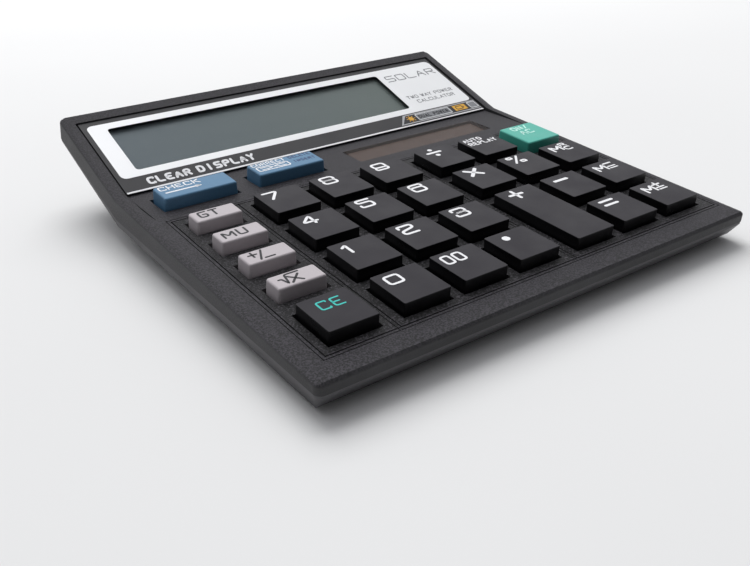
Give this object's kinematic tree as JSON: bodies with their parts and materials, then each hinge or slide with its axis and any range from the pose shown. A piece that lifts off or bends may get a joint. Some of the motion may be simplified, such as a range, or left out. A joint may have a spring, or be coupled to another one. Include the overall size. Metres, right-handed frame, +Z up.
{
  "type": "desk calculator",
  "caption": "Wedge-shaped desk calculator with a tilted wide display, a solar strip, a battery hatch underneath and a grid of separate sprung keys.",
  "frame": {"origin": "middle of the footprint on the desk, at the underside of the rubber feet", "axes": "+X to the user's right, +Y away from the user towards the display, +Z up from the desk"},
  "size_m": [0.153, 0.1542, 0.0291],
  "materials": {
    "case_plastic": "charcoal moulded plastic with a fine sand grain",
    "base_plastic": "charcoal moulded plastic, smooth grain",
    "key_black": "satin black key plastic",
    "key_blue": "satin blue key plastic",
    "key_light": "satin pale grey key plastic",
    "key_green": "satin sea green key plastic",
    "faceplate": "dark printed sheet with a silver frame",
    "clear_lens": "clear acrylic",
    "lcd_glass": "display glass with a polarising film",
    "reflector": "grey green reflective film",
    "inner_plastic": "black moulded plastic",
    "film": "amber flexible film",
    "badge": "brushed aluminium strip",
    "solar_lens": "tinted acrylic",
    "solar_cell": "brown amorphous cell on glass",
    "wire": "soft insulated wire",
    "mat_rubber": "grey silicone rubber",
    "board": "green circuit board",
    "resin": "black potting resin",
    "component": "coated component bodies",
    "cell_wrap": "plain wrapped battery cell",
    "contact_metal": "nickel plated spring steel",
    "screw_steel": "zinc plated steel",
    "foot_rubber": "black rubber",
    "label": "plain satin foil label"
  },
  "bodies": {
    "casing": {"upper_case": "case_plastic", "lower_case": "base_plastic", "display_faceplate": "faceplate", "display_lens": "clear_lens", "lcd_front_glass": "lcd_glass", "lcd_rear_glass": "lcd_glass", "lcd_reflector": "reflector", "lcd_holder": "inner_plastic", "lcd_ribbon": "film", "badge_strip": "badge", "solar_window": "solar_lens", "solar_cell": "solar_cell", "solar_wires": "wire", "key_mat": "mat_rubber", "main_board": "board", "calculator_chip": "resin", "capacitors": "component", "resistors": "component", "battery_cell": "cell_wrap", "battery_spring": "contact_metal", "battery_plate": "contact_metal", "battery_wires": "wire", "case_screws": "screw_steel", "board_screws": "screw_steel", "rubber_feet": "foot_rubber", "rating_label": "label"},
    "battery_cover": {"battery_cover": "base_plastic"},
    "key_0": {"key_0": "key_black"},
    "key_1": {"key_1": "key_black"},
    "key_2": {"key_2": "key_black"},
    "key_3": {"key_3": "key_black"},
    "key_4": {"key_4": "key_black"},
    "key_5": {"key_5": "key_black"},
    "key_6": {"key_6": "key_black"},
    "key_7": {"key_7": "key_black"},
    "key_8": {"key_8": "key_black"},
    "key_9": {"key_9": "key_black"},
    "key_double_zero": {"key_double_zero": "key_black"},
    "key_point": {"key_point": "key_black"},
    "key_plus": {"key_plus": "key_black"},
    "key_times": {"key_times": "key_black"},
    "key_divide": {"key_divide": "key_black"},
    "key_equals": {"key_equals": "key_black"},
    "key_minus": {"key_minus": "key_black"},
    "key_percent": {"key_percent": "key_black"},
    "key_replay": {"key_replay": "key_black"},
    "key_memory_plus": {"key_memory_plus": "key_black"},
    "key_memory_minus": {"key_memory_minus": "key_black"},
    "key_memory_recall": {"key_memory_recall": "key_black"},
    "key_power": {"key_power": "key_green"},
    "key_clear_entry": {"key_clear_entry": "key_black"},
    "key_root": {"key_root": "key_light"},
    "key_sign": {"key_sign": "key_light"},
    "key_markup": {"key_markup": "key_light"},
    "key_grand_total": {"key_grand_total": "key_light"},
    "key_check": {"key_check": "key_blue"},
    "key_correct": {"key_correct": "key_blue"}
  },
  "joints": [
    {"name": "key_0_press", "type": "slide", "parent": "casing", "child": "key_0", "axis": [0, 0.0523, -0.9986], "range_m": [0, 0.0014], "stiffness_N_per_m": 350, "deforming": ["key_mat"]},
    {"name": "key_1_press", "type": "slide", "parent": "casing", "child": "key_1", "axis": [0, 0.0523, -0.9986], "range_m": [0, 0.0014], "stiffness_N_per_m": 350, "deforming": ["key_mat"]},
    {"name": "key_2_press", "type": "slide", "parent": "casing", "child": "key_2", "axis": [0, 0.0523, -0.9986], "range_m": [0, 0.0014], "stiffness_N_per_m": 350, "deforming": ["key_mat"]},
    {"name": "key_3_press", "type": "slide", "parent": "casing", "child": "key_3", "axis": [0, 0.0523, -0.9986], "range_m": [0, 0.0014], "stiffness_N_per_m": 350, "deforming": ["key_mat"]},
    {"name": "key_4_press", "type": "slide", "parent": "casing", "child": "key_4", "axis": [0, 0.0523, -0.9986], "range_m": [0, 0.0014], "stiffness_N_per_m": 350, "deforming": ["key_mat"]},
    {"name": "key_5_press", "type": "slide", "parent": "casing", "child": "key_5", "axis": [0, 0.0523, -0.9986], "range_m": [0, 0.0014], "stiffness_N_per_m": 350, "deforming": ["key_mat"]},
    {"name": "key_6_press", "type": "slide", "parent": "casing", "child": "key_6", "axis": [0, 0.0523, -0.9986], "range_m": [0, 0.0014], "stiffness_N_per_m": 350, "deforming": ["key_mat"]},
    {"name": "key_7_press", "type": "slide", "parent": "casing", "child": "key_7", "axis": [0, 0.0523, -0.9986], "range_m": [0, 0.0014], "stiffness_N_per_m": 350, "deforming": ["key_mat"]},
    {"name": "key_8_press", "type": "slide", "parent": "casing", "child": "key_8", "axis": [0, 0.0523, -0.9986], "range_m": [0, 0.0014], "stiffness_N_per_m": 350, "deforming": ["key_mat"]},
    {"name": "key_9_press", "type": "slide", "parent": "casing", "child": "key_9", "axis": [0, 0.0523, -0.9986], "range_m": [0, 0.0014], "stiffness_N_per_m": 350, "deforming": ["key_mat"]},
    {"name": "key_double_zero_press", "type": "slide", "parent": "casing", "child": "key_double_zero", "axis": [0, 0.0523, -0.9986], "range_m": [0, 0.0014], "stiffness_N_per_m": 350, "deforming": ["key_mat"]},
    {"name": "key_point_press", "type": "slide", "parent": "casing", "child": "key_point", "axis": [0, 0.0523, -0.9986], "range_m": [0, 0.0014], "stiffness_N_per_m": 350, "deforming": ["key_mat"]},
    {"name": "key_plus_press", "type": "slide", "parent": "casing", "child": "key_plus", "axis": [0, 0.0523, -0.9986], "range_m": [0, 0.0014], "stiffness_N_per_m": 420, "deforming": ["key_mat"]},
    {"name": "key_times_press", "type": "slide", "parent": "casing", "child": "key_times", "axis": [0, 0.0523, -0.9986], "range_m": [0, 0.0014], "stiffness_N_per_m": 350, "deforming": ["key_mat"]},
    {"name": "key_divide_press", "type": "slide", "parent": "casing", "child": "key_divide", "axis": [0, 0.0523, -0.9986], "range_m": [0, 0.0014], "stiffness_N_per_m": 350, "deforming": ["key_mat"]},
    {"name": "key_equals_press", "type": "slide", "parent": "casing", "child": "key_equals", "axis": [0, 0.0523, -0.9986], "range_m": [0, 0.0014], "stiffness_N_per_m": 350, "deforming": ["key_mat"]},
    {"name": "key_minus_press", "type": "slide", "parent": "casing", "child": "key_minus", "axis": [0, 0.0523, -0.9986], "range_m": [0, 0.0014], "stiffness_N_per_m": 350, "deforming": ["key_mat"]},
    {"name": "key_percent_press", "type": "slide", "parent": "casing", "child": "key_percent", "axis": [0, 0.0523, -0.9986], "range_m": [0, 0.0014], "stiffness_N_per_m": 350, "deforming": ["key_mat"]},
    {"name": "key_replay_press", "type": "slide", "parent": "casing", "child": "key_replay", "axis": [0, 0.0523, -0.9986], "range_m": [0, 0.0014], "stiffness_N_per_m": 350, "deforming": ["key_mat"]},
    {"name": "key_memory_plus_press", "type": "slide", "parent": "casing", "child": "key_memory_plus", "axis": [0, 0.0523, -0.9986], "range_m": [0, 0.0014], "stiffness_N_per_m": 350, "deforming": ["key_mat"]},
    {"name": "key_memory_minus_press", "type": "slide", "parent": "casing", "child": "key_memory_minus", "axis": [0, 0.0523, -0.9986], "range_m": [0, 0.0014], "stiffness_N_per_m": 350, "deforming": ["key_mat"]},
    {"name": "key_memory_recall_press", "type": "slide", "parent": "casing", "child": "key_memory_recall", "axis": [0, 0.0523, -0.9986], "range_m": [0, 0.0014], "stiffness_N_per_m": 350, "deforming": ["key_mat"]},
    {"name": "key_power_press", "type": "slide", "parent": "casing", "child": "key_power", "axis": [0, 0.0523, -0.9986], "range_m": [0, 0.0014], "stiffness_N_per_m": 350, "deforming": ["key_mat"]},
    {"name": "key_clear_entry_press", "type": "slide", "parent": "casing", "child": "key_clear_entry", "axis": [0, 0.0523, -0.9986], "range_m": [0, 0.0014], "stiffness_N_per_m": 350, "deforming": ["key_mat"]},
    {"name": "key_root_press", "type": "slide", "parent": "casing", "child": "key_root", "axis": [0, 0.0523, -0.9986], "range_m": [0, 0.0014], "stiffness_N_per_m": 350, "deforming": ["key_mat"]},
    {"name": "key_sign_press", "type": "slide", "parent": "casing", "child": "key_sign", "axis": [0, 0.0523, -0.9986], "range_m": [0, 0.0014], "stiffness_N_per_m": 350, "deforming": ["key_mat"]},
    {"name": "key_markup_press", "type": "slide", "parent": "casing", "child": "key_markup", "axis": [0, 0.0523, -0.9986], "range_m": [0, 0.0014], "stiffness_N_per_m": 350, "deforming": ["key_mat"]},
    {"name": "key_grand_total_press", "type": "slide", "parent": "casing", "child": "key_grand_total", "axis": [0, 0.0523, -0.9986], "range_m": [0, 0.0014], "stiffness_N_per_m": 350, "deforming": ["key_mat"]},
    {"name": "key_check_press", "type": "slide", "parent": "casing", "child": "key_check", "axis": [0, 0.0523, -0.9986], "range_m": [0, 0.0014], "stiffness_N_per_m": 350, "deforming": ["key_mat"]},
    {"name": "key_correct_press", "type": "slide", "parent": "casing", "child": "key_correct", "axis": [0, 0.0523, -0.9986], "range_m": [0, 0.0014], "stiffness_N_per_m": 350, "deforming": ["key_mat"]},
    {"name": "battery_cover_slide", "type": "slide", "parent": "casing", "child": "battery_cover", "axis": [0, 1, 0], "range_m": [0, 0.016]}
  ]
}
